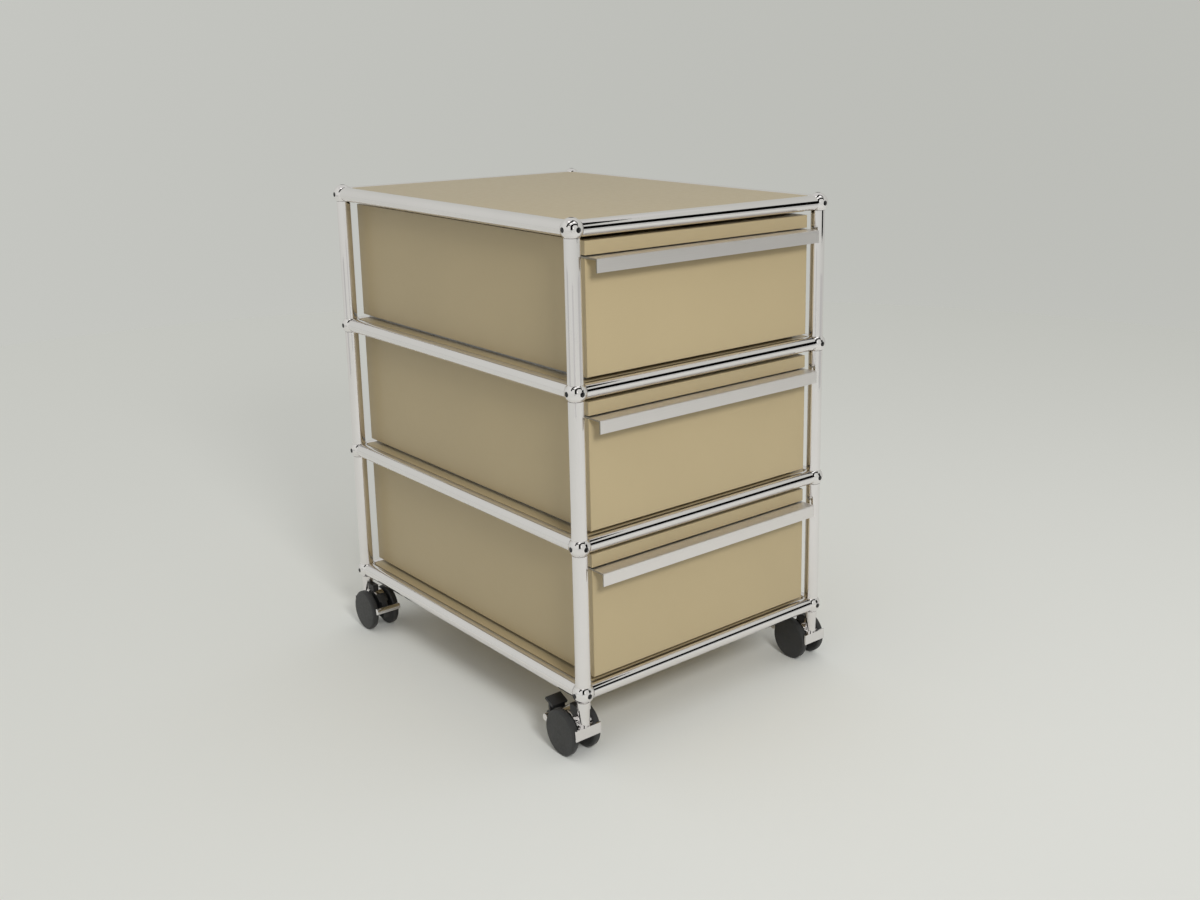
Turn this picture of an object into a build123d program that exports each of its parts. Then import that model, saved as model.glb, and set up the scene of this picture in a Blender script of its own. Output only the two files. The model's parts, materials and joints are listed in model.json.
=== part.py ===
from build123d import *
from math import cos, radians, sin, sqrt
import os

os.makedirs("parts", exist_ok=True)

# A mobile pedestal: a grid of chrome tubes on ball connectors, with sheet-steel panels, drawers that
# run on rollers, and twin-wheel casters.
# +Z is up, -Y is the front, the floor is at z = 0 and the origin is under the middle of the whole object.

# Frame grid, from ball centre to ball centre
frame_width = 371.0
frame_depth = 500.0
bay_height = 174.0
bay_count = 3
caster_height = 78.0          # floor to the centre of the lowest balls

# Balls and tubes
ball_radius = 12.5
ball_hole_radius = 3.0
ball_hole_depth = 7.5
tube_radius = 9.0
tube_wall = 1.0
seat_clearance = 0.1          # between a ball and what is seated on it

# Connectors in the tube ends
connector_length = 20.0
connector_setback = 13.5      # ball centre to the plug
connector_clearance = 0.1
connector_slot = 2.0

# Panels between the rails
sheet = 1.2
panel_top = 8.0               # rail centre to the panel's upper face
panel_skirt = 16.0
panel_clearance = 0.3
panel_corner_clearance = 0.5

# Drawers
drawer_side_gap = 8.0         # post to drawer side
drawer_front_inset = 1.0      # front rail's centre to the drawer front
drawer_rear_inset = 3.0       # rear rail's centre to the drawer's back
drawer_bottom_rise = 13.0     # rail centre to the drawer's lower edge
drawer_top_drop = 14.0        # upper rail centre to the drawer's upper edge
drawer_travel = 370.0
hem_width = 8.0
box_edge_radius = 1.5
front_thickness = 14.0
front_edge_radius = 1.0
groove_top_drop = 15.2        # drawer's upper edge to the groove's upper wall
groove_height = 3.3
groove_depth = 12.0

# Handles
handle_reach = 20.0           # drawer front to the lip's outer face
handle_lip_height = 15.0
handle_sheet = 1.8
handle_end_inset = 0.4
handle_clearance = 0.3
handle_bend_radius = 0.8

# Screws between the drawer front and the drawer box
screw_radius = 1.5
screw_clearance = 0.1
screw_head_radius = 3.5
screw_head_height = 2.0
screw_length = 9.0
screw_boss_radius = 4.0
screw_side_inset = 38.0
screw_bottom_inset = 37.0
screw_top_inset = 40.0

# Roller runners under the drawers
runner_inset = 6.0            # drawer side to the cabinet rail
runner_end_gap = 2.0
roller_radius = 8.0
roller_width = 6.0
roller_side_gap = 0.8
roller_running_gap = 0.3
front_roller_rise = 2.6       # front roller's axis above the rear roller's
roller_pin_radius = 2.0
pin_clearance = 0.05
roller_end_setback = 11.0
track_mouth = 11.0            # front roller's axis to the channel's upper flange
drawer_rail_foot_rise = 3.0   # panel to the drawer rail's lower edge
stop_height = 2.0
stop_length = 2.0

# Casters
wheel_radius = 27.0
wheel_thickness = 9.5
wheel_edge_radius = 2.8
wheel_cover_thickness = 2.5
wheel_dome = 0.8              # rise of the disc's face from its rim to its middle
caster_trail = 21.0
wheel_gap = 22.0              # between the inner faces of the two discs
hub_radius = 8.0
hub_gap = 0.6
axle_radius = 3.0
axle_clearance = 0.05
press_clearance = 0.02
web_thickness = 8.0
stem_radius = 6.8
crossbar_height = 13.0
crossbar_depth = 13.8
crossbar_length = 35.0
crossbar_plate_thickness = 2.0  # where the crossbar stands before the discs
crossbar_rise = 26.5          # floor to the crossbar's lower face
part_gap = 0.3                # between two pieces that turn against each other
collar_radius = 7.8
collar_height = 6.0
spigot_radius = 4.0
spigot_head_radius = 4.8
spigot_head_height = 3.0
hood_radius = 26.0
hood_thickness = 2.2
hood_front_width = 20.8
hood_rear_width = 13.0
hood_end_angle = 35.0
tail_bar_radius = 4.3
tail_bar_length = 34.0
tail_bar_distance = 32.0      # wheel axle to the tail bar
tail_bar_angle = 12.0
tail_arm_height = 6.0
edge_fillet = 0.8

# Brake levers on the front casters
lever_radius = 6.3
lever_width = 21.2
lever_thickness = 3.0
paddle_length = 15.5
paddle_rise = 17.4            # tail bar's axis to the middle of the paddle's upper face
paddle_slope_angle = 23.0

# Places in plan and the heights of the ball levels, the top one first. A ball reaches as far as the rim
# of its hole.
ball_reach = sqrt(ball_radius ** 2 - ball_hole_radius ** 2)
front_y = -(frame_depth + drawer_front_inset - handle_reach + ball_reach) / 2
rear_y = front_y + frame_depth
right_x = frame_width / 2
left_x = -right_x
corners = [(x, y) for x in (left_x, right_x) for y in (front_y, rear_y)]
level_z = [caster_height + level * bay_height for level in range(bay_count, -1, -1)]
overrun = 1.0                 # how far a cutting solid passes the faces that it cuts

# Drawer planes
drawer_half_width = right_x - tube_radius - drawer_side_gap
drawer_front_y = front_y + drawer_front_inset
drawer_rear_y = rear_y - drawer_rear_inset
box_front_y = drawer_front_y + front_thickness


def ball_points(z):
    """The four ball centres of the level at height z."""
    return [(x, y, z) for x, y in corners]


def save(piece, label):
    """Label a finished piece and write its STEP file."""
    piece.label = label
    export_step(piece, f"parts/{label}.step")


def prism_y(x_low, x_high, z_low, z_high, y_low, y_high, mode=Mode.ADD):
    """Add or cut a box given by its six limits inside the current part."""
    with Locations(((x_low + x_high) / 2, (y_low + y_high) / 2, (z_low + z_high) / 2)):
        Box(x_high - x_low, y_high - y_low, z_high - z_low, mode=mode)


# Ball connectors: spheres with a threaded hole on each of six sides. The four of a level mirror each other.
with BuildPart() as ball:
    Sphere(ball_radius)
    for direction in ((1, 0, 0), (-1, 0, 0), (0, 1, 0), (0, -1, 0), (0, 0, 1), (0, 0, -1)):
        with BuildSketch(Plane(origin=(0, 0, 0), z_dir=direction).offset(ball_radius - ball_hole_depth)):
            Circle(ball_hole_radius)
        extrude(amount=ball_hole_depth, mode=Mode.SUBTRACT)

outward_ball = mirror(ball.part, about=Plane.XY)
middle_y = (front_y + rear_y) / 2

for number, z in enumerate(level_z, start=1):
    with BuildPart() as balls:
        with Locations((right_x, rear_y, z)):
            add(outward_ball)
        mirror(about=Plane.XZ.offset(-middle_y))
        mirror(about=Plane.YZ)
    save(balls.part, f"balls_level_{number}")

# Posts: the four upright tubes of each bay, seated on the balls
seat_radius = ball_radius + seat_clearance
tube_setback = tube_radius + seat_clearance

for bay in range(bay_count):
    with BuildPart() as posts:
        with BuildSketch(Plane.XY.offset(level_z[bay + 1] + tube_setback)):
            with Locations(*corners):
                Circle(tube_radius)
                Circle(tube_radius - tube_wall, mode=Mode.SUBTRACT)
        extrude(amount=bay_height - 2 * tube_setback)
        with Locations(*ball_points(level_z[bay]), *ball_points(level_z[bay + 1])):
            Sphere(seat_radius, mode=Mode.SUBTRACT)
    save(posts.part, f"posts_bay_{bay + 1}")

# Rails: two tubes across and two from front to back at each level
for number, z in enumerate(level_z, start=1):
    with BuildPart() as across_rails:
        with BuildSketch(Plane.YZ.offset(left_x + tube_setback)):
            with Locations((front_y, z), (rear_y, z)):
                Circle(tube_radius)
                Circle(tube_radius - tube_wall, mode=Mode.SUBTRACT)
        extrude(amount=frame_width - 2 * tube_setback)
        with Locations(*ball_points(z)):
            Sphere(seat_radius, rotation=(0, 90, 0), mode=Mode.SUBTRACT)
    with BuildPart() as along_rails:
        with BuildSketch(Plane.XZ.offset(tube_setback - rear_y)):
            with Locations((left_x, z), (right_x, z)):
                Circle(tube_radius)
                Circle(tube_radius - tube_wall, mode=Mode.SUBTRACT)
        extrude(amount=frame_depth - 2 * tube_setback)
        with Locations(*ball_points(z)):
            Sphere(seat_radius, mode=Mode.SUBTRACT)
    with BuildPart() as rails:
        add(across_rails.part)
        add(along_rails.part)
    save(rails.part, f"rails_level_{number}")

# Tube connectors: a slotted plug in each tube end, on a screw that goes into the ball
plug_radius = tube_radius - tube_wall - connector_clearance
screw_start = ball_radius - ball_hole_depth + overrun

with BuildPart() as connector:
    with BuildSketch(Plane.YZ.offset(screw_start)):
        Circle(ball_hole_radius - connector_clearance)
    extrude(amount=connector_setback - screw_start)
    with BuildSketch(Plane.YZ.offset(connector_setback)):
        Circle(plug_radius)
    extrude(amount=connector_length)
    with BuildSketch(Plane.YZ.offset(connector_setback + connector_length / 2)):
        Rectangle(connector_slot, 2 * tube_radius)
        Rectangle(2 * tube_radius, connector_slot)
    extrude(amount=connector_length, mode=Mode.SUBTRACT)

connector_places = []
for x, y in corners:
    across = 0 if x < 0 else 180
    along = 90 if y < 0 else -90
    for z in level_z:
        connector_places.append(Location((x, y, z), (0, 0, across)))
        connector_places.append(Location((x, y, z), (0, 0, along)))
    for z in level_z[1:]:
        connector_places.append(Location((x, y, z), (0, -90, 0)))
    for z in level_z[:-1]:
        connector_places.append(Location((x, y, z), (0, 90, 0)))

with BuildPart() as tube_connectors:
    with Locations(*connector_places):
        add(connector.part)
save(tube_connectors.part, "tube_connectors")

# Panels: trays that hang between the rails, with a lip on the tubes' shoulders
lip_rise = panel_top - sheet
lip_inset = sqrt((tube_radius + panel_clearance) ** 2 - lip_rise ** 2)
skirt_inset = tube_radius + panel_clearance
corner_radius = ball_radius + panel_corner_clearance

for number, z in enumerate(level_z, start=1):
    with BuildPart() as panel:
        with BuildSketch(Plane.XY.offset(z + lip_rise)):
            with Locations((0, middle_y)):
                Rectangle(frame_width - 2 * lip_inset, frame_depth - 2 * lip_inset)
        extrude(amount=sheet)
        with BuildSketch(Plane.XY.offset(z + panel_top - panel_skirt)):
            with Locations((0, middle_y)):
                Rectangle(frame_width - 2 * skirt_inset, frame_depth - 2 * skirt_inset)
                Rectangle(
                    frame_width - 2 * (skirt_inset + sheet),
                    frame_depth - 2 * (skirt_inset + sheet),
                    mode=Mode.SUBTRACT,
                )
        extrude(amount=panel_skirt - sheet)
        with BuildSketch(Plane.XY.offset(z + panel_top)):
            with Locations(*corners):
                Circle(corner_radius)
        extrude(amount=-panel_skirt, mode=Mode.SUBTRACT)
    save(panel.part, f"panel_level_{number}")

# Runner heights above the panel's upper face
rear_roller_rise = sheet + roller_running_gap + roller_radius
front_roller_axis_rise = rear_roller_rise + front_roller_rise
channel_height = sheet + 2 * (roller_radius + roller_running_gap) + sheet
track_rise = front_roller_axis_rise + roller_radius + roller_running_gap
floor_rise = track_rise + sheet

# Runner places across, from the drawer's side inwards, for the right-hand runner
rail_outer_x = drawer_half_width - sheet - runner_inset
roller_outer_x = rail_outer_x - sheet - roller_side_gap
roller_inner_x = roller_outer_x - roller_width
channel_inner_x = roller_inner_x - roller_side_gap
drawer_rail_outer_x = channel_inner_x - roller_side_gap
drawer_rail_inner_x = drawer_rail_outer_x - sheet

# Runner places from front to back
rail_front_y = box_front_y + runner_end_gap
rail_rear_y = drawer_rear_y - runner_end_gap
front_roller_y = rail_front_y + roller_end_setback
rear_roller_y = rail_rear_y - roller_end_setback
stop_contact = sqrt(roller_radius ** 2 - (roller_radius + roller_running_gap - stop_height) ** 2)
stop_y = rear_roller_y - drawer_travel - stop_contact - part_gap

# Screw places on the drawer front, across and up from the drawer's lower edge
drawer_height = bay_height - drawer_bottom_rise - drawer_top_drop
screw_points = [
    (x, rise)
    for x in (screw_side_inset - drawer_half_width, drawer_half_width - screw_side_inset)
    for rise in (screw_bottom_inset, drawer_height - screw_top_inset)
]

for bay in range(bay_count):
    rail_z = level_z[bay + 1]
    shelf_z = rail_z + panel_top
    bottom_z = rail_z + drawer_bottom_rise
    top_z = rail_z + bay_height - drawer_top_drop
    floor_z = shelf_z + floor_rise
    groove_top_z = top_z - groove_top_drop
    groove_bottom_z = groove_top_z - groove_height
    name = f"drawer_{bay + 1}"
    screw_places = [(x, bottom_z + rise) for x, rise in screw_points]

    # Drawer box: sides that reach down past the floor, hemmed along the top
    with BuildPart() as box:
        prism_y(-drawer_half_width, drawer_half_width, bottom_z, top_z, box_front_y, drawer_rear_y)
        upright_edges = box.edges().filter_by(Axis.Z)
        fillet(upright_edges.group_by(Axis.Y)[-1], radius=box_edge_radius)
        inner_x = drawer_half_width - sheet
        prism_y(
            -inner_x, inner_x, floor_z + sheet, top_z - sheet,
            box_front_y + sheet, drawer_rear_y - sheet, mode=Mode.SUBTRACT,
        )
        hem_x = inner_x - hem_width
        prism_y(
            -hem_x, hem_x, top_z - sheet - overrun, top_z + overrun,
            box_front_y + sheet, drawer_rear_y - sheet - hem_width, mode=Mode.SUBTRACT,
        )
        prism_y(
            -inner_x, inner_x, bottom_z - overrun, floor_z,
            box_front_y - overrun, drawer_rear_y + overrun, mode=Mode.SUBTRACT,
        )
        with BuildSketch(Plane.XZ.offset(overrun - box_front_y)):
            with Locations(*screw_places):
                Circle(screw_radius + screw_clearance)
        extrude(amount=-(sheet + 2 * overrun), mode=Mode.SUBTRACT)
    save(box.part, f"{name}_box")

    # Drawer front: a tray open at the back, with a groove for the handle and bosses for the screws
    with BuildPart() as front:
        prism_y(-drawer_half_width, drawer_half_width, bottom_z, top_z, drawer_front_y, box_front_y)
        outline = front.faces().sort_by(Axis.Y)[0].edges()
        fillet(outline, radius=front_edge_radius)
        inner_x = drawer_half_width - sheet
        prism_y(
            -inner_x, inner_x, bottom_z + sheet, groove_bottom_z - sheet,
            drawer_front_y + sheet, box_front_y + overrun, mode=Mode.SUBTRACT,
        )
        prism_y(
            -inner_x, inner_x, groove_top_z + sheet, top_z - sheet,
            drawer_front_y + sheet, box_front_y + overrun, mode=Mode.SUBTRACT,
        )
        prism_y(
            -drawer_half_width - overrun, drawer_half_width + overrun, groove_bottom_z, groove_top_z,
            drawer_front_y - overrun, drawer_front_y + groove_depth, mode=Mode.SUBTRACT,
        )
        with BuildSketch(Plane.XZ.offset(-box_front_y)):
            with Locations(*screw_places):
                Circle(screw_boss_radius)
        extrude(amount=front_thickness - sheet)
        with BuildSketch(Plane.XZ.offset(-box_front_y)):
            with Locations(*screw_places):
                Circle(screw_radius + screw_clearance)
        extrude(amount=screw_length, mode=Mode.SUBTRACT)
    save(front.part, f"{name}_front")

    # Screws: heads inside the box, shanks into the front's bosses
    with BuildPart() as screws:
        with BuildSketch(Plane.XZ.offset(-box_front_y - sheet)):
            with Locations(*screw_places):
                Circle(screw_radius)
        extrude(amount=screw_length - overrun)
        with BuildSketch(Plane.XZ.offset(-box_front_y - sheet)):
            with Locations(*screw_places):
                Circle(screw_head_radius)
        extrude(amount=-screw_head_height)
        fillet(screws.edges().group_by(Axis.Y)[-1], radius=edge_fillet)
    save(screws.part, f"{name}_screws")

    # Handle: an L of thick sheet whose upper leg lies in the groove
    with BuildPart() as handle:
        handle_x = drawer_half_width - handle_end_inset
        lip_y = drawer_front_y - handle_reach
        leg_z = groove_bottom_z + handle_sheet
        with BuildSketch(Plane.YZ.offset(-handle_x)) as profile:
            with BuildLine():
                Polyline(
                    (drawer_front_y + groove_depth - handle_clearance, leg_z),
                    (lip_y, leg_z),
                    (lip_y, leg_z - handle_lip_height),
                    (lip_y + handle_sheet, leg_z - handle_lip_height),
                    (lip_y + handle_sheet, groove_bottom_z),
                    (drawer_front_y + groove_depth - handle_clearance, groove_bottom_z),
                    close=True,
                )
            make_face()
            bend = profile.vertices().group_by(Axis.X)[0].sort_by(Axis.Y)[-1]
            fillet(bend, radius=handle_bend_radius)
        extrude(amount=2 * handle_x)
    save(handle.part, f"{name}_handle")

    # Cabinet rails: channels on the panel, each with a front roller pin and a stop
    with BuildPart() as cabinet_rails:
        with BuildSketch(Plane.XZ.offset(-rail_rear_y)):
            with BuildLine():
                Polyline(
                    (rail_outer_x, shelf_z),
                    (channel_inner_x, shelf_z),
                    (channel_inner_x, shelf_z + sheet),
                    (rail_outer_x - sheet, shelf_z + sheet),
                    (rail_outer_x - sheet, shelf_z + channel_height - sheet),
                    (channel_inner_x, shelf_z + channel_height - sheet),
                    (channel_inner_x, shelf_z + channel_height),
                    (rail_outer_x, shelf_z + channel_height),
                    close=True,
                )
            make_face()
        extrude(amount=rail_rear_y - rail_front_y)
        prism_y(
            channel_inner_x - overrun, rail_outer_x - sheet,
            shelf_z + sheet + roller_radius, shelf_z + channel_height + overrun,
            rail_front_y - overrun, front_roller_y + track_mouth, mode=Mode.SUBTRACT,
        )
        prism_y(
            roller_inner_x, rail_outer_x - sheet, shelf_z + sheet, shelf_z + sheet + stop_height,
            stop_y - stop_length, stop_y,
        )
        with BuildSketch(Plane.YZ.offset(roller_inner_x)):
            with Locations((front_roller_y, shelf_z + front_roller_axis_rise)):
                Circle(roller_pin_radius)
        extrude(amount=rail_outer_x - sheet - roller_inner_x)
        mirror(about=Plane.YZ)
    save(cabinet_rails.part, f"{name}_cabinet_rails")

    # Drawer rails: angles under the drawer's floor, each with a rear roller pin
    with BuildPart() as drawer_rails:
        with BuildSketch(Plane.XZ.offset(-rail_rear_y)):
            with BuildLine():
                Polyline(
                    (drawer_rail_inner_x, floor_z),
                    (rail_outer_x, floor_z),
                    (rail_outer_x, floor_z - sheet),
                    (drawer_rail_outer_x, floor_z - sheet),
                    (drawer_rail_outer_x, shelf_z + drawer_rail_foot_rise),
                    (drawer_rail_inner_x, shelf_z + drawer_rail_foot_rise),
                    close=True,
                )
            make_face()
        extrude(amount=rail_rear_y - box_front_y)
        with BuildSketch(Plane.YZ.offset(drawer_rail_outer_x)):
            with Locations((rear_roller_y, shelf_z + rear_roller_rise)):
                Circle(roller_pin_radius)
        extrude(amount=roller_outer_x - drawer_rail_outer_x)
        mirror(about=Plane.YZ)
    save(drawer_rails.part, f"{name}_rails")

    # Rollers: one pair on the cabinet rails' front ends, one pair on the drawer rails' rear ends
    for place, y, rise in (
        ("front", front_roller_y, front_roller_axis_rise),
        ("rear", rear_roller_y, rear_roller_rise),
    ):
        with BuildPart() as rollers:
            with BuildSketch(Plane.YZ.offset(roller_inner_x)):
                with Locations((y, shelf_z + rise)):
                    Circle(roller_radius)
                    Circle(roller_pin_radius + pin_clearance, mode=Mode.SUBTRACT)
            extrude(amount=roller_width)
            mirror(about=Plane.YZ)
        save(rollers.part, f"{name}_{place}_rollers")

# Casters are modelled about their swivel axis, trailing towards +Y, and then set under the balls.
axle_z = wheel_radius
wheel_inner_x = wheel_gap / 2
wheel_outer_x = wheel_inner_x + wheel_thickness
collar_bottom_z = caster_height - ball_radius - collar_height
stem_top_z = collar_bottom_z - part_gap
head_top_z = crossbar_rise + spigot_head_height
tail_y = caster_trail + tail_bar_distance * cos(radians(tail_bar_angle))
tail_z = axle_z + tail_bar_distance * sin(radians(tail_bar_angle))
crossbar_back_y = caster_trail - wheel_radius - part_gap   # the plate's back, clear of the discs
crossbar_front_y = crossbar_back_y - crossbar_plate_thickness

# The hollow that a ball leaves in a stud's collar, with the stud's threaded end left standing in it
thread_radius = ball_hole_radius - connector_clearance
with BuildPart() as stud_seat:
    with Locations((0, 0, caster_height)):
        Sphere(seat_radius)
    with Locations((0, 0, caster_height - ball_radius / 2)):
        Cylinder(thread_radius, 2 * ball_radius, mode=Mode.SUBTRACT)

# Caster studs: threaded end, collar seated on the ball, and a spigot peened over inside the housing
with BuildPart() as stud:
    with BuildSketch(Plane.XZ) as stud_profile:
        with BuildLine():
            Polyline(
                (0, crossbar_rise + part_gap),
                (spigot_head_radius, crossbar_rise + part_gap),
                (spigot_head_radius, head_top_z - part_gap),
                (spigot_radius, head_top_z - part_gap),
                (spigot_radius, collar_bottom_z),
                (collar_radius, collar_bottom_z),
                (collar_radius, caster_height - ball_hole_radius),
                (thread_radius, caster_height - ball_hole_radius),
                (thread_radius, caster_height - screw_start),
                (0, caster_height - screw_start),
                close=True,
            )
        make_face()
    revolve(axis=Axis.Z)
    add(stud_seat.part, mode=Mode.SUBTRACT)

with BuildPart() as caster_studs:
    with Locations(*[(x, y, 0) for x, y in corners]):
        add(stud.part)
save(caster_studs.part, "caster_studs")


def caster_housing(hood_width):
    """Chrome housing: stem, crossbar, web to the axle, hood over the axle and tail bar."""
    reach = 2 * hood_radius   # past every outline of the hood
    hood_end_y = caster_trail + reach * cos(radians(hood_end_angle))
    hood_end_z = axle_z + reach * sin(radians(hood_end_angle))
    web_height = stem_top_z - crossbar_rise - part_gap
    upwards = (Align.CENTER, Align.MIN)
    standing = (Align.CENTER, Align.CENTER, Align.MIN)
    forward = (Align.CENTER, Align.MIN, Align.MIN)
    with BuildPart() as housing:
        with BuildSketch(Plane.YZ.offset(-web_thickness / 2)):
            with Locations((caster_trail, axle_z)):
                Circle(hood_radius)
            with Locations((caster_trail, 0)):
                Rectangle(2 * reach, axle_z - hub_radius, align=upwards, mode=Mode.SUBTRACT)
            with Locations((caster_trail - hub_radius, crossbar_rise)):
                Rectangle(reach, crossbar_rise, align=(Align.MAX, Align.MAX), mode=Mode.SUBTRACT)
            with Locations((caster_trail / 2, crossbar_rise)):
                Rectangle(caster_trail, web_height, align=upwards)
            with Locations(((caster_trail + tail_y) / 2, tail_z)):
                Rectangle(tail_y - caster_trail, tail_arm_height)
        extrude(amount=web_thickness)
        with BuildSketch(Plane.YZ.offset(-hood_width / 2)):
            with Locations((caster_trail, axle_z)):
                Circle(hood_radius)
                Circle(hood_radius - hood_thickness, mode=Mode.SUBTRACT)
            with BuildLine():
                Polyline(
                    (caster_trail, axle_z),
                    (hood_end_y, hood_end_z),
                    (caster_trail + reach, axle_z - reach),
                    (-reach, axle_z - reach),
                    (-reach, crossbar_rise + crossbar_height),
                    (caster_trail - hood_radius, crossbar_rise + crossbar_height),
                    close=True,
                )
            make_face(mode=Mode.SUBTRACT)
        extrude(amount=hood_width)
        with Locations((0, 0, crossbar_rise)):
            Cylinder(stem_radius, stem_top_z - crossbar_rise, align=standing)
        with Locations((0, crossbar_front_y, crossbar_rise)):
            Box(wheel_gap - 2 * part_gap, crossbar_depth, crossbar_height, align=forward)
            Box(crossbar_length, crossbar_plate_thickness, crossbar_height, align=forward)
        with BuildSketch(Plane.YZ.offset(-tail_bar_length / 2)):
            with Locations((tail_y, tail_z)):
                Circle(tail_bar_radius)
        extrude(amount=tail_bar_length)
        with Locations((0, 0, crossbar_rise - overrun)):
            Cylinder(
                spigot_radius + axle_clearance, stem_top_z - crossbar_rise + 2 * overrun,
                align=standing, mode=Mode.SUBTRACT,
            )
            Cylinder(
                spigot_head_radius + part_gap, spigot_head_height + overrun,
                align=standing, mode=Mode.SUBTRACT,
            )
        with BuildSketch(Plane.YZ.offset(-web_thickness)):
            with Locations((caster_trail, axle_z)):
                Circle(axle_radius + press_clearance)
        extrude(amount=2 * web_thickness, mode=Mode.SUBTRACT)
    return housing.part


def caster_wheel(side):
    """One black disc with its hub, on the side given by -1 or 1."""
    with BuildPart() as wheel:
        with BuildSketch(Plane.XY) as section:
            with BuildLine():
                TangentArc((wheel_outer_x, 0), (wheel_outer_x - wheel_dome, wheel_radius), tangent=(0, 1))
                Polyline(
                    (wheel_outer_x - wheel_dome, wheel_radius),
                    (wheel_inner_x, wheel_radius),
                    (wheel_inner_x, hub_radius),
                    (web_thickness / 2 + hub_gap, hub_radius),
                    (web_thickness / 2 + hub_gap, axle_radius + axle_clearance),
                    (wheel_outer_x - wheel_cover_thickness, axle_radius + axle_clearance),
                    (wheel_outer_x - wheel_cover_thickness, 0),
                    (wheel_outer_x, 0),
                )
            make_face()
            rim = section.vertices().group_by(Axis.Y)[-1]
            fillet(rim, radius=wheel_edge_radius)
        revolve(axis=Axis.X)
    turned = wheel.part if side > 0 else mirror(wheel.part, about=Plane.YZ)
    return turned.moved(Location((0, caster_trail, axle_z)))


def brake_lever():
    """Black pedal: a sloping paddle on an arm and two rings round the tail bar."""
    with BuildPart() as lever:
        with BuildSketch(Plane.YZ.offset(-lever_width / 2)):
            with Locations((tail_y, tail_z)):
                Circle(lever_radius)
                with Locations((0, tail_bar_radius + part_gap)):
                    Rectangle(
                        lever_thickness, paddle_rise - tail_bar_radius - part_gap - lever_thickness / 2,
                        align=(Align.CENTER, Align.MIN),
                    )
                with Locations(Location((0, paddle_rise), paddle_slope_angle)):
                    Rectangle(paddle_length, lever_thickness, align=(Align.CENTER, Align.MAX))
        extrude(amount=lever_width)
        with BuildSketch(Plane.YZ.offset(-lever_width)):
            with Locations((tail_y, tail_z)):
                Circle(tail_bar_radius + axle_clearance)
        extrude(amount=2 * lever_width, mode=Mode.SUBTRACT)
        # Room for the housing's web between the rings
        slot = web_thickness / 2 + hub_gap
        with BuildSketch(Plane.YZ.offset(-slot)):
            with Locations((tail_y, tail_z)):
                Circle(lever_radius + part_gap)
        extrude(amount=2 * slot, mode=Mode.SUBTRACT)
    return lever.part


front_housing = caster_housing(hood_front_width)
rear_housing = caster_housing(hood_rear_width)
left_wheel = caster_wheel(-1)
right_wheel = caster_wheel(1)
lever = brake_lever()

with BuildPart() as axle:
    with BuildSketch(Plane.YZ.offset(-(wheel_outer_x - wheel_cover_thickness - part_gap))):
        with Locations((caster_trail, axle_z)):
            Circle(axle_radius)
    extrude(amount=2 * (wheel_outer_x - wheel_cover_thickness - part_gap))

caster_pieces = {
    "housing": {"front": front_housing, "rear": rear_housing},
    "axle": {"front": axle.part, "rear": axle.part},
    "left_wheel": {"front": left_wheel, "rear": right_wheel},
    "right_wheel": {"front": right_wheel, "rear": left_wheel},
    "brake_lever": {"front": lever},
}
for end, y, heading in (("front", front_y, 0), ("rear", rear_y, 180)):
    for hand, x in (("left", left_x), ("right", right_x)):
        for piece_name, forms in caster_pieces.items():
            if end in forms:
                with BuildPart() as piece:
                    with Locations(Location((x, y, 0), (0, 0, heading))):
                        add(forms[end])
                save(piece.part, f"caster_{end}_{hand}_{piece_name}")
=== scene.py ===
"""Looks for the mobile pedestal: studio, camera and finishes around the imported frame."""
import json
import math

import bpy
from mathutils import Matrix, Vector


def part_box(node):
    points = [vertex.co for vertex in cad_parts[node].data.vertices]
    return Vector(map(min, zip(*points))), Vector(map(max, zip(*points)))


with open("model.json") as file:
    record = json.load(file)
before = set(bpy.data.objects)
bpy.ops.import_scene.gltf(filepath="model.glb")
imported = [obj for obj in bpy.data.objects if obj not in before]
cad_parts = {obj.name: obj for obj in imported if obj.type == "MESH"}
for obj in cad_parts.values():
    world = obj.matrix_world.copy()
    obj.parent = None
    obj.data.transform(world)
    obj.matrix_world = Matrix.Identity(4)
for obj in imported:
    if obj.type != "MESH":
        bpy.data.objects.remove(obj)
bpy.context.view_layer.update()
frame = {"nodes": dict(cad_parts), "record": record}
nodes = frame["nodes"]

# Camera, fitted to the photograph's 1200 x 900 frame
CAMERA_PLACE = Vector((-0.98549, -1.33243, 0.77064))
CAMERA_AZIMUTH = -41.72       # degrees; 0 looks along +Y
CAMERA_ELEVATION = 13.322
CAMERA_ROLL = -0.235
CAMERA_LENS = 39.189          # mm
CAMERA_SENSOR = 36.0          # width, mm
CAMERA_SHIFT = (-0.07823, -0.0685)

# Floor and backdrop
FLOOR_RADIUS = 2.6
FLOOR_RINGS = (0.0001, 0.8, 1.6, FLOOR_RADIUS)
COVE_RADIUS = 1.4
COVE_STEPS = 30
WALL_TOP = 5.0
LATHE_STEPS = 160
STAGE_COLOR = (0.586, 0.592, 0.561)   # radiance of the backdrop at the origin, before the glows
STAGE_SLOPE = (-0.022, -0.009, 0.014)  # its change per metre along X, Y and Z
GLOWS = [                     # middle, how far it spreads, and how much it adds at the middle
    ((0.3, -1.0, 0.0), 1.0, 0.103),
    # painted light: lifts the floor beside the object, where its shadow falls
    ((-0.25, -0.25, 0.0), 0.6, 0.05),
]
PAPER_LIMIT = 1.23            # most that the paper's colour may be of the backdrop's radiance

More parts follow.
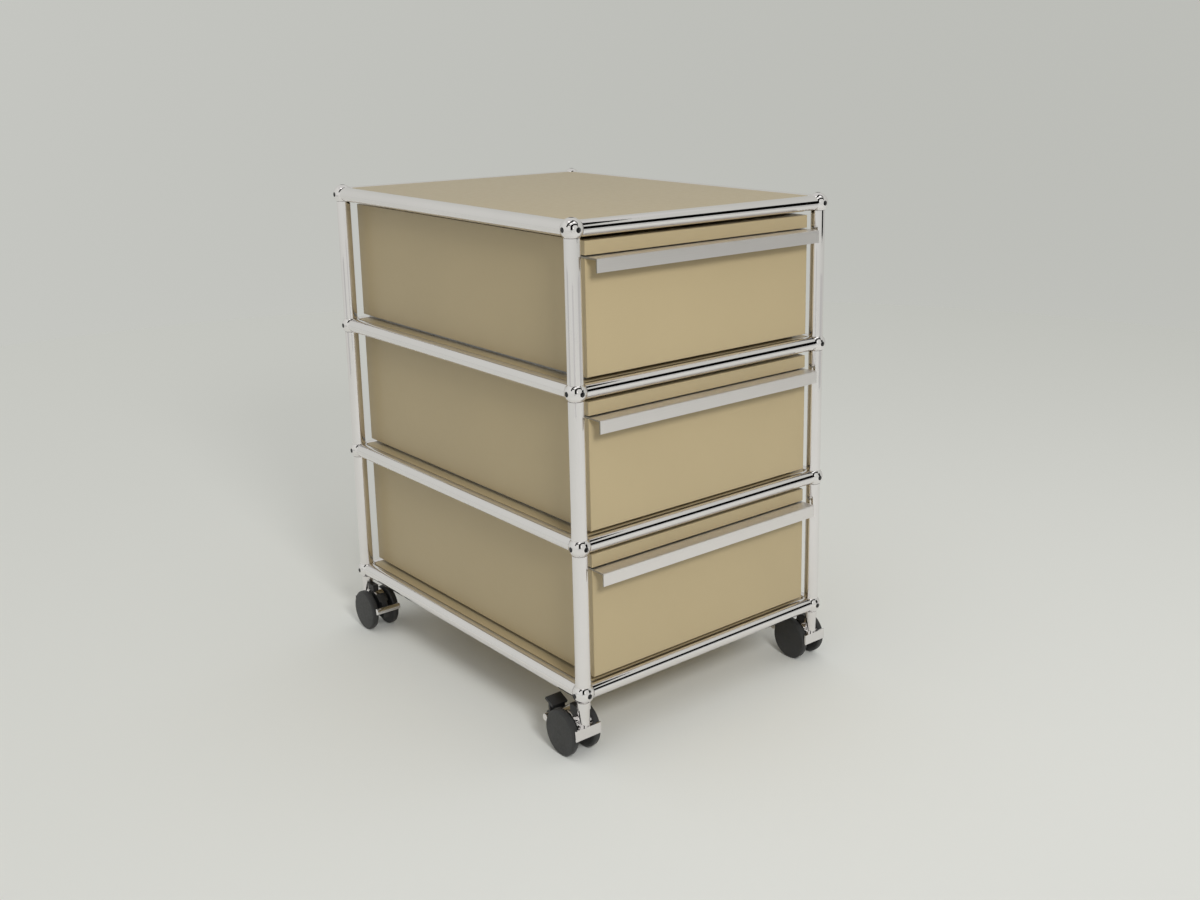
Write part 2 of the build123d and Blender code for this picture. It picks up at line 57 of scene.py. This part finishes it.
# Light
WORLD_LOW = 0.36              # radiance of the world for light at the horizon and below
WORLD_RISE = 0.38             # how much more there is straight above
WORLD_ON_FLOOR = WORLD_LOW + WORLD_RISE * 2 / 3   # what a level surface gets
WORLD_TINT = (1.0, 1.0, 0.985, 1.0)
SKY_COLOR = (0.62, 0.62, 0.60)    # what the camera and the gloss see beyond the backdrop
KEY_PLACE = Vector((-0.66, -1.90, 1.45))
KEY_AIM = Vector((0.0, -0.1, 0.35))
KEY_SIZE = 0.55
KEY_STRENGTH = 2.2            # radiance of a white sheet that faces the lamp at 1 m

# Upright cards round the object, which only the gloss sees. Azimuths here go from +X towards +Y.
CARD_STEPS = 24
FLAG = (-66, -40, 0.20, 1.62)     # azimuths in degrees, lower and upper edge in metres
FLAG_RADIUS = 3.0             # the black card, which darkens a line of the front rails
STAND_RADIUS = 1.75
STAND_FOOT = 0.005
STANDS = {                    # azimuths in degrees, upper edge in metres, radiance
    "left": (154, 176, 0.30, (0.50, 0.50, 0.485)),
    "front": (-140, -124, 0.30, (0.55, 0.55, 0.535)),
    "right": (-70, -34, 0.28, (0.50, 0.50, 0.485)),
}

# Black bars and white panels on a dome overhead, which only the gloss sees. Each has a name, a route of
# (azimuth, elevation) as seen from the dome's middle, and a width, all in degrees.
RIG_MIDDLE = Vector((-0.186, -0.247, 0.60))   # the ball nearest to the camera
RIG_RADIUS = 3.2
RIG_STEPS = 6                 # points in each stretch of a route
RIG_BARS = [
    ("rig_post", [(-126, -16), (-126, 34), (-112, 44)], 20),
    ("rig_right_arm", [(-112, 44), (-91, 48), (-65, 42), (-54, 38)], 14),
    ("rig_left_arm", [(-172, 40), (-144, 43)], 9),
    ("rig_arch", [(-176, 22), (-174, 47), (-168, 60), (-150, 71), (-60, 82), (0, 72)], 14),
    ("rig_arch_end", [(0, 72), (-20, 55), (-33, 46), (-48, 36), (-58, 24)], 8),
]
RIG_PANELS = [
    ("panel_left", [(150, 66), (-172, 75)], 12),
    ("panel_middle", [(-145, 57), (-112, 58)], 9),
    ("panel_right", [(-90, 66), (-45, 62)], 11),
    ("panel_low", [(-108, 11), (-108, 20)], 5),
]
PANEL_COLOR = (1.0, 1.0, 0.98)
PANEL_STRENGTH = 1.5

# Colours of the object
CHROME = (0.90, 0.875, 0.875)
BEIGE = (0.478, 0.384, 0.223)
SATIN = (0.90, 0.87, 0.855)
ZINC = (0.62, 0.63, 0.64)
NYLON = (0.72, 0.72, 0.70)
BLACK = (0.027, 0.027, 0.027)
THREADS_DARK = (0.20, 0.20, 0.205)
THREADS_LIGHT = (0.34, 0.34, 0.34)
# painted shade for the handles' ends, tinted beige
END_SHADE_COLOR = (0.42, 0.39, 0.33)

# Sizes of the places on a node that look different from the rest of it, in metres: the balls' thread holes,
# and the painted shade in the grooves, on the handles' ends and in the casters' housings
THREAD_RINGS = 330.0          # wave scale for one ring a millimetre
BALL_RADIUS = 0.0125
HOLE_RADIUS = 0.003
HOLE_RIM = math.sqrt(BALL_RADIUS ** 2 - HOLE_RADIUS ** 2)   # ball centre to the plane of a hole's rim
HOLE_MARGIN = 1.01            # share of the hole's radius within which a face is in the hole
BALL_SKIN = 0.975             # share of the ball's radius beyond which a face is on the ball
GROOVE_HALF = 0.0025          # half the height of a drawer front's groove, with a little to spare
GROOVE_LIP = 0.0005           # a face whose middle is this near to the front keeps its colour
HANDLE_SHEET = 0.0018
END_FACING = 0.9              # least X part of the normal of a handle's end face
HOOD_RADIUS = 0.026
HOOD_CHROME_END = 0.012       # ahead of the axle, along the caster
WEB_HALF = 0.004
STEM_BACK = -0.0142           # behind the axle, along the caster
TAIL_PLACE = (0.0313, 0.00665)    # tail bar from the axle: along the caster and up
TAIL_RADIUS = 0.0043
HAIR = 0.0002                 # allowance for faces that lie on a limit


def make_camera():
    """The camera at the photograph's viewing angle."""
    data = bpy.data.cameras.new("camera")
    data.lens = CAMERA_LENS
    data.sensor_width = CAMERA_SENSOR
    data.shift_x, data.shift_y = CAMERA_SHIFT
    data.clip_start = 0.01
    data.clip_end = 100.0
    camera = bpy.data.objects.new("camera", data)
    bpy.context.scene.collection.objects.link(camera)
    azimuth, elevation = math.radians(CAMERA_AZIMUTH), math.radians(CAMERA_ELEVATION)
    back = Vector((
        math.sin(azimuth) * math.cos(elevation),
        -math.cos(azimuth) * math.cos(elevation),
        math.sin(elevation),
    ))
    turn = (-back).to_track_quat("-Z", "Y").to_matrix().to_4x4()
    roll = Matrix.Rotation(math.radians(CAMERA_ROLL), 4, "Z")
    camera.matrix_world = Matrix.Translation(CAMERA_PLACE) @ turn @ roll
    bpy.context.scene.camera = camera


def add_mesh(name, points, faces, material):
    """A new object of one material from points and faces."""
    mesh = bpy.data.meshes.new(name)
    mesh.from_pydata(points, [], faces)
    obj = bpy.data.objects.new(name, mesh)
    bpy.context.scene.collection.objects.link(obj)
    mesh.materials.append(material)
    return obj


def lathe(name, profile, material):
    """A smooth surface of revolution about +Z from a list of (radius, height)."""
    points, faces = [], []
    for step in range(LATHE_STEPS):
        turn = 2 * math.pi * step / LATHE_STEPS
        points += [(r * math.cos(turn), r * math.sin(turn), z) for r, z in profile]
    count = len(profile)
    for step in range(LATHE_STEPS):
        a, b = step * count, (step + 1) % LATHE_STEPS * count
        faces += [(a + i, b + i, b + i + 1, a + i + 1) for i in range(count - 1)]
    obj = add_mesh(name, points, faces, material)
    for face in obj.data.polygons:
        face.use_smooth = True
    return obj


def upright(name, start, end, low, high, radius, material):
    """A curved card about the origin between two azimuths in degrees and two heights."""
    points, faces = [], []
    for step in range(CARD_STEPS + 1):
        turn = math.radians(start + (end - start) * step / CARD_STEPS)
        x, y = radius * math.cos(turn), radius * math.sin(turn)
        points += [(x, y, low), (x, y, high)]
    for step in range(CARD_STEPS):
        a = 2 * step
        faces.append((a, a + 2, a + 3, a + 1))
    return add_mesh(name, points, faces, material)


def direction(azimuth, elevation):
    """The unit vector towards an azimuth and elevation in degrees."""
    a, e = math.radians(azimuth), math.radians(elevation)
    return Vector((math.cos(a) * math.cos(e), math.sin(a) * math.cos(e), math.sin(e)))


def overhead(name, route, width, material):
    """A strip on the rig's dome along a route of (azimuth, elevation)."""
    fine = []
    for start, end in zip(route, route[1:]):
        a, b = direction(*start), direction(*end)
        fine += [a.slerp(b, step / RIG_STEPS) for step in range(RIG_STEPS)]
    fine.append(direction(*route[-1]))
    points, faces = [], []
    half = math.tan(math.radians(width / 2))
    for index, here in enumerate(fine):
        along = fine[min(index + 1, len(fine) - 1)] - fine[max(index - 1, 0)]
        aside = along.cross(here).normalized() * half
        points += [tuple(RIG_MIDDLE + (here + side) * RIG_RADIUS) for side in (aside, -aside)]
    for index in range(len(fine) - 1):
        a = 2 * index
        faces.append((a, a + 1, a + 3, a + 2))
    return add_mesh(name, points, faces, material)


def plain(name, color, strength=0.0):
    """A card's look: next to black, with light of its own if strength isn't 0."""
    material = bpy.data.materials.new(name)
    material.use_nodes = True
    shader = material.node_tree.nodes["Principled BSDF"]
    shader.inputs["Base Color"].default_value = (0.002, 0.002, 0.002, 1)
    shader.inputs["Roughness"].default_value = 1.0
    shader.inputs["Specular IOR Level"].default_value = 0.0
    shader.inputs["Emission Color"].default_value = (*color, 1)
    shader.inputs["Emission Strength"].default_value = strength
    return material


def stage_paper(name, lit):
    """Paper of the backdrop's brightness, which it gives by itself or, if lit, mostly by its colour."""
    paper = bpy.data.materials.new(name)
    paper.use_nodes = True
    paper.cycles.emission_sampling = "NONE"
    tree = paper.node_tree
    shader = tree.nodes["Principled BSDF"]
    shader.inputs["Base Color"].default_value = (0, 0, 0, 1)
    shader.inputs["Roughness"].default_value = 1.0
    shader.inputs["Specular IOR Level"].default_value = 0.0
    shader.inputs["Emission Strength"].default_value = 1.0

    def node(kind, operation, *values):
        made = tree.nodes.new(kind)
        made.operation = operation
        for socket, value in zip(made.inputs, values):
            if isinstance(value, bpy.types.NodeSocket):
                tree.links.new(value, socket)
            else:
                socket.default_value = value
        return next(socket for socket in made.outputs if socket.enabled)

    def number(operation, *values):
        return node("ShaderNodeMath", operation, *values)

    def vector(operation, *values):
        return node("ShaderNodeVectorMath", operation, *values)

    def evenly(value):
        made = tree.nodes.new("ShaderNodeCombineXYZ")
        for socket in made.inputs:
            tree.links.new(value, socket)
        return made.outputs[0]

    place = tree.nodes.new("ShaderNodeTexCoord").outputs["Object"]
    change = vector("DOT_PRODUCT", place, STAGE_SLOPE)
    for middle, spread, glow in GLOWS:
        away = vector("DISTANCE", place, middle)
        fall = number("MULTIPLY", number("MULTIPLY", away, away), -0.5 / spread ** 2)
        change = number("MULTIPLY_ADD", number("EXPONENT", fall), glow, change)
    bright = vector("ADD", evenly(change), STAGE_COLOR)
    if not lit:
        tree.links.new(bright, shader.inputs["Emission Color"])
        return paper

    # What falls on level paper from the key lamp and the world, and the share that its colour gives back
    from_key = vector("SUBTRACT", place, tuple(KEY_PLACE))
    ahead = vector("DOT_PRODUCT", from_key, tuple((KEY_AIM - KEY_PLACE).normalized()))
    square = vector("DOT_PRODUCT", from_key, from_key)
    facing = number("MULTIPLY", number("MAXIMUM", ahead, 0.0), KEY_STRENGTH * KEY_PLACE.z)
    key = number("DIVIDE", facing, number("MULTIPLY", square, square))
    light = number("ADD", key, WORLD_ON_FLOOR)
    share = number("MINIMUM", number("DIVIDE", 1.0, light), PAPER_LIMIT)
    rest = number("SUBTRACT", 1.0, number("MULTIPLY", share, light))
    tree.links.new(vector("MULTIPLY", bright, evenly(share)), shader.inputs["Base Color"])
    tree.links.new(vector("MULTIPLY", bright, evenly(rest)), shader.inputs["Emission Color"])
    return paper


def make_stage():
    """Pale floor with a cove and wall all round, and cards and panels that only the gloss sees."""
    floor = lathe("floor", [(radius, 0) for radius in FLOOR_RINGS], stage_paper("floor_paper", True))
    cove = [
        (FLOOR_RADIUS + COVE_RADIUS * math.sin(a), COVE_RADIUS * (1 - math.cos(a)))
        for a in (math.radians(90 * step / COVE_STEPS) for step in range(COVE_STEPS + 1))
    ]
    wall = (FLOOR_RADIUS + COVE_RADIUS, WALL_TOP)
    backdrop = lathe("backdrop", [*cove, wall], stage_paper("backdrop_paper", False))
    backdrop.visible_diffuse = False
    backdrop.visible_shadow = False

    black = plain("flag_black", (0, 0, 0))
    white = plain("panel_white", PANEL_COLOR, PANEL_STRENGTH)
    cards = [upright("flag", *FLAG, FLAG_RADIUS, black)]
    for side, (start, end, top, gray) in STANDS.items():
        look = plain(f"{side}_gray", gray, 1.0)
        cards.append(upright(f"stand_{side}", start, end, STAND_FOOT, top, STAND_RADIUS, look))
    for bars, look in ((RIG_BARS, black), (RIG_PANELS, white)):
        cards += [overhead(name, route, width, look) for name, route, width in bars]
    for card in cards:
        card.visible_camera = False
        card.visible_diffuse = False
        card.visible_shadow = False


def make_key():
    """A round softbox in front at the left, which the gloss doesn't show."""
    data = bpy.data.lights.new("key", "AREA")
    data.shape = "DISK"
    data.size = KEY_SIZE
    data.energy = KEY_STRENGTH * math.pi ** 2
    key = bpy.data.objects.new("key", data)
    bpy.context.scene.collection.objects.link(key)
    key.location = KEY_PLACE
    key.rotation_mode = "QUATERNION"
    key.rotation_quaternion = (KEY_AIM - KEY_PLACE).to_track_quat("-Z", "Y")
    key.visible_glossy = False


def make_world():
    """Light that is brighter above, and an even sky for what the camera and the gloss see."""
    world = bpy.data.worlds.new("studio")
    bpy.context.scene.world = world
    world.use_nodes = True
    tree = world.node_tree
    tree.nodes.clear()
    out = tree.nodes.new("ShaderNodeOutputWorld")
    split = tree.nodes.new("ShaderNodeSeparateXYZ")
    rise = tree.nodes.new("ShaderNodeMapRange")
    rise.inputs["To Min"].default_value = WORLD_LOW
    rise.inputs["To Max"].default_value = WORLD_LOW + WORLD_RISE
    light = tree.nodes.new("ShaderNodeBackground")
    light.inputs["Color"].default_value = WORLD_TINT
    tree.links.new(tree.nodes.new("ShaderNodeTexCoord").outputs["Generated"], split.inputs[0])
    tree.links.new(split.outputs["Z"], rise.inputs["Value"])
    tree.links.new(rise.outputs["Result"], light.inputs["Strength"])
    sky = tree.nodes.new("ShaderNodeBackground")
    sky.inputs["Color"].default_value = (*SKY_COLOR, 1)
    path = tree.nodes.new("ShaderNodeLightPath")
    either = tree.nodes.new("ShaderNodeMath")
    either.operation = "MAXIMUM"
    mix = tree.nodes.new("ShaderNodeMixShader")
    tree.links.new(path.outputs["Is Camera Ray"], either.inputs[0])
    tree.links.new(path.outputs["Is Glossy Ray"], either.inputs[1])
    tree.links.new(either.outputs[0], mix.inputs[0])
    tree.links.new(light.outputs[0], mix.inputs[1])
    tree.links.new(sky.outputs[0], mix.inputs[2])
    tree.links.new(mix.outputs[0], out.inputs[0])


class Finish:
    """A Principled material with a few short ways to add procedural detail."""

    def __init__(self, name, **values):
        self.material = bpy.data.materials.new(name)
        self.material.use_nodes = True
        self.tree = self.material.node_tree
        self.shader = self.tree.nodes["Principled BSDF"]
        for key, value in values.items():
            self.shader.inputs[key.replace("_", " ")].default_value = value
        self.place = self.tree.nodes.new("ShaderNodeTexCoord").outputs["Object"]

    def link(self, source, target):
        self.tree.links.new(source, target)

    def stretched(self, scale):
        """Object coordinates multiplied by scale along X, Y and Z."""
        node = self.tree.nodes.new("ShaderNodeMapping")
        node.inputs["Scale"].default_value = scale
        self.link(self.place, node.inputs["Vector"])
        return node.outputs["Vector"]

    def noise(self, scale, detail=3.0, where=None):
        """Noise with scale spots a metre."""
        node = self.tree.nodes.new("ShaderNodeTexNoise")
        node.inputs["Scale"].default_value = scale
        node.inputs["Detail"].default_value = detail
        self.link(where or self.place, node.inputs["Vector"])
        return node.outputs["Fac"]

    def spangle(self, scale):
        """Flat cells of random shade, with scale cells a metre."""
        node = self.tree.nodes.new("ShaderNodeTexVoronoi")
        node.inputs["Scale"].default_value = scale
        self.link(self.place, node.inputs["Vector"])
        return node.outputs["Color"]

    def rings(self, axis, scale):
        """Waves along one axis."""
        node = self.tree.nodes.new("ShaderNodeTexWave")
        node.bands_direction = axis
        node.inputs["Scale"].default_value = scale
        self.link(self.place, node.inputs["Vector"])
        return node.outputs["Fac"]

    def tinted(self, source, dark, light, start=0.3, end=0.7):
        """Colour from dark to light where source goes from start to end."""
        node = self.tree.nodes.new("ShaderNodeValToRGB")
        node.color_ramp.elements[0].position = start
        node.color_ramp.elements[1].position = end
        node.color_ramp.elements[0].color = (*dark, 1)
        node.color_ramp.elements[1].color = (*light, 1)
        self.link(source, node.inputs["Fac"])
        self.link(node.outputs["Color"], self.shader.inputs["Base Color"])

    def rough(self, source, low, high, start=0.3, end=0.7):
        """Roughness from low to high where source goes from start to end."""
        node = self.tree.nodes.new("ShaderNodeMapRange")
        node.inputs["From Min"].default_value = start
        node.inputs["From Max"].default_value = end
        node.inputs["To Min"].default_value = low
        node.inputs["To Max"].default_value = high
        self.link(source, node.inputs["Value"])
        self.link(node.outputs["Result"], self.shader.inputs["Roughness"])

    def bump(self, *layers):
        """Bumps of (source, height in metres), one on top of the other."""
        under = None
        for source, height in layers:
            node = self.tree.nodes.new("ShaderNodeBump")
            node.inputs["Strength"].default_value = 1.0
            node.inputs["Distance"].default_value = height
            self.link(source, node.inputs["Height"])
            if under:
                self.link(under, node.inputs["Normal"])
            under = node.outputs["Normal"]
        self.link(under, self.shader.inputs["Normal"])


def scaled(color, share):
    """A darker or lighter version of a colour."""
    return tuple(c * share for c in color)


def chrome(name, color, low, high):
    """Polished chrome: a faint haze and a trace of waviness from the polishing."""
    finish = Finish(name, Metallic=1.0)
    haze = finish.noise(scale=14.0, detail=4.0)
    finish.tinted(haze, scaled(color, 0.97), color)
    finish.rough(finish.noise(scale=55.0, detail=5.0), low, high)
    finish.bump((finish.noise(scale=420.0, detail=2.0), 0.0000015))
    return finish.material


def powder_coat(name, color):
    """Fine powder coat: slight orange peel, with the colour a little uneven."""
    finish = Finish(name, Specular_IOR_Level=0.5)
    finish.tinted(finish.noise(scale=9.0), scaled(color, 0.98), scaled(color, 1.012))
    finish.rough(finish.noise(scale=120.0, detail=4.0), 0.32, 0.38)
    peel = finish.noise(scale=850.0, detail=2.0)
    grain = finish.noise(scale=3200.0, detail=2.0)
    finish.bump((peel, 0.00001), (grain, 0.000003))
    return finish.material


def brushed(name, color, grain, low, high):
    """Satin steel with its grain along the axis where grain is small."""
    finish = Finish(name, Metallic=1.0)
    lines = finish.noise(scale=1.0, detail=6.0, where=finish.stretched(grain))
    finish.tinted(lines, scaled(color, 0.985), scaled(color, 1.01))
    finish.rough(lines, low, high)
    finish.bump((lines, 0.0000004))
    return finish.material


def threaded(name, axis):
    """Dark threads inside a ball's hole, in rings along one axis."""
    finish = Finish(name, Metallic=1.0)
    finish.tinted(finish.noise(scale=300.0), THREADS_DARK, THREADS_LIGHT)
    finish.rough(finish.noise(scale=500.0), 0.32, 0.5)
    finish.bump((finish.rings(axis, THREAD_RINGS), 0.0003))
    return finish.material


def zinc(name, color):
    """Zinc-plated steel with a faint spangle."""
    finish = Finish(name, Metallic=1.0)
    finish.tinted(finish.spangle(scale=160.0), scaled(color, 0.9), color, 0.1, 0.9)
    finish.rough(finish.noise(scale=240.0), 0.28, 0.4)
    finish.bump((finish.noise(scale=600.0), 0.000004))
    return finish.material


def plastic(name, color, low, high, grain_height):
    """Moulded plastic with a fine spark-eroded grain."""
    finish = Finish(name, Specular_IOR_Level=0.5)
    finish.tinted(finish.noise(scale=40.0), scaled(color, 0.9), scaled(color, 1.1))
    finish.rough(finish.noise(scale=300.0), low, high)
    finish.bump((finish.noise(scale=2600.0, detail=2.0), grain_height))
    return finish.material


FINISHES = {
    "chrome_ball": chrome("chrome_ball_look", CHROME, 0.02, 0.05),
    "chrome_tube": chrome("chrome_tube_look", CHROME, 0.03, 0.07),
    "chrome_casting": chrome("chrome_casting_look", scaled(CHROME, 0.97), 0.05, 0.10),
    "painted_panel": powder_coat("painted_panel_look", BEIGE),
    "painted_drawer": powder_coat("painted_drawer_look", BEIGE),
    "satin_steel": brushed("satin_steel_look", SATIN, (3.0, 900.0, 900.0), 0.40, 0.46),
    "zinc_steel": zinc("zinc_steel_look", ZINC),
    "white_nylon": plastic("white_nylon_look", NYLON, 0.35, 0.5, 0.000004),
    "black_plastic": plastic("black_plastic_look", BLACK, 0.42, 0.55, 0.000006),
}
THREADS = [threaded(f"threads_{axis}_look", axis) for axis in "XYZ"]
# Painted shade: the beige at 0.12 of its brightness, for the deep groove that holds a handle
GROOVE_SHADE = powder_coat("groove_shade_look", scaled(BEIGE, 0.12))
# Painted shade, tinted beige, for the ends of the handles
HANDLE_END_SHADE = brushed("handle_end_shade_look", END_SHADE_COLOR, (900.0, 900.0, 3.0), 0.5, 0.6)


def thread_holes(mesh):
    """Give the faces inside a level's ball holes the threads' looks."""
    for look in THREADS:
        mesh.materials.append(look)
    # Along each axis the balls' centres lie HOLE_RIM inside the rims of the outermost holes
    places = [vertex.co for vertex in mesh.vertices]
    low = [min(place[axis] for place in places) + HOLE_RIM for axis in range(3)]
    high = [max(place[axis] for place in places) - HOLE_RIM for axis in range(3)]
    for face in mesh.polygons:
        centre = Vector([min((a, b), key=lambda v: abs(v - c)) for a, b, c in zip(low, high, face.center)])
        away = face.center - centre
        for axis in range(3):
            across = Vector([0 if k == axis else away[k] for k in range(3)]).length
            if across < HOLE_RADIUS * HOLE_MARGIN and away.length < BALL_RADIUS * BALL_SKIN:
                face.material_index = 1 + axis


def paint_groove_shade(handle, mesh):
    """The inside of the groove that holds the handle is painted dark, as painted shade for its depth."""
    mesh.materials.append(GROOVE_SHADE)
    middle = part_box(handle)[1][2] - HANDLE_SHEET / 2
    front = min(vertex.co.y for vertex in mesh.vertices)
    for face in mesh.polygons:
        if abs(face.center.z - middle) < GROOVE_HALF and face.center.y > front + GROOVE_LIP:
            face.material_index = 1


def paint_handle_end_shade(mesh):
    """The ends of a handle are painted a duller, darker, beige-tinted steel, as painted shade where they meet
    the drawer front.
    """
    mesh.materials.append(HANDLE_END_SHADE)
    for face in mesh.polygons:
        if abs(face.normal.x) > END_FACING:
            face.material_index = 1


def paint_web_shade(caster, mesh):
    """The housing's web and the tail of its hood, which are chrome, get the black plastic look as painted
    shade between the wheels; its stem, crossbar and tail bar keep their chrome.
    """
    mesh.materials.append(FINISHES["black_plastic"])
    low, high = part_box(caster + "_axle")
    axle = [(a + b) / 2 for a, b in zip(low, high)]
    heading = 1 if "front" in caster else -1
    for face in mesh.polygons:
        middle = face.center
        along, up = (middle.y - axle[1]) * heading, middle.z - axle[2]
        aside = max(abs(mesh.vertices[index].co.x - axle[0]) for index in face.vertices)
        on_tail = math.hypot(along - TAIL_PLACE[0], up - TAIL_PLACE[1]) < TAIL_RADIUS + HAIR
        on_web = aside < WEB_HALF + HAIR and along > STEM_BACK
        on_hood = along > HOOD_CHROME_END and math.hypot(along, up) < HOOD_RADIUS + HAIR
        if (on_web or on_hood) and not on_tail:
            face.material_index = 1


def dress(part):
    """Give a node its finish, and the places that look different theirs, some of which are painted shade."""
    name = part["node"]
    mesh = nodes[name].data
    mesh.materials.clear()
    mesh.materials.append(FINISHES[part["material_slot"]])
    if part["material_slot"] == "chrome_ball":
        thread_holes(mesh)
    elif name.endswith("_housing"):
        paint_web_shade(name.removesuffix("_housing"), mesh)
    elif name.endswith("_front"):
        paint_groove_shade(name.replace("_front", "_handle"), mesh)
    elif name.endswith("_handle"):
        paint_handle_end_shade(mesh)


make_camera()
make_stage()
make_key()
make_world()
for part in frame["record"]["subparts"]:
    dress(part)

bpy.context.scene.view_settings.view_transform = "Standard"
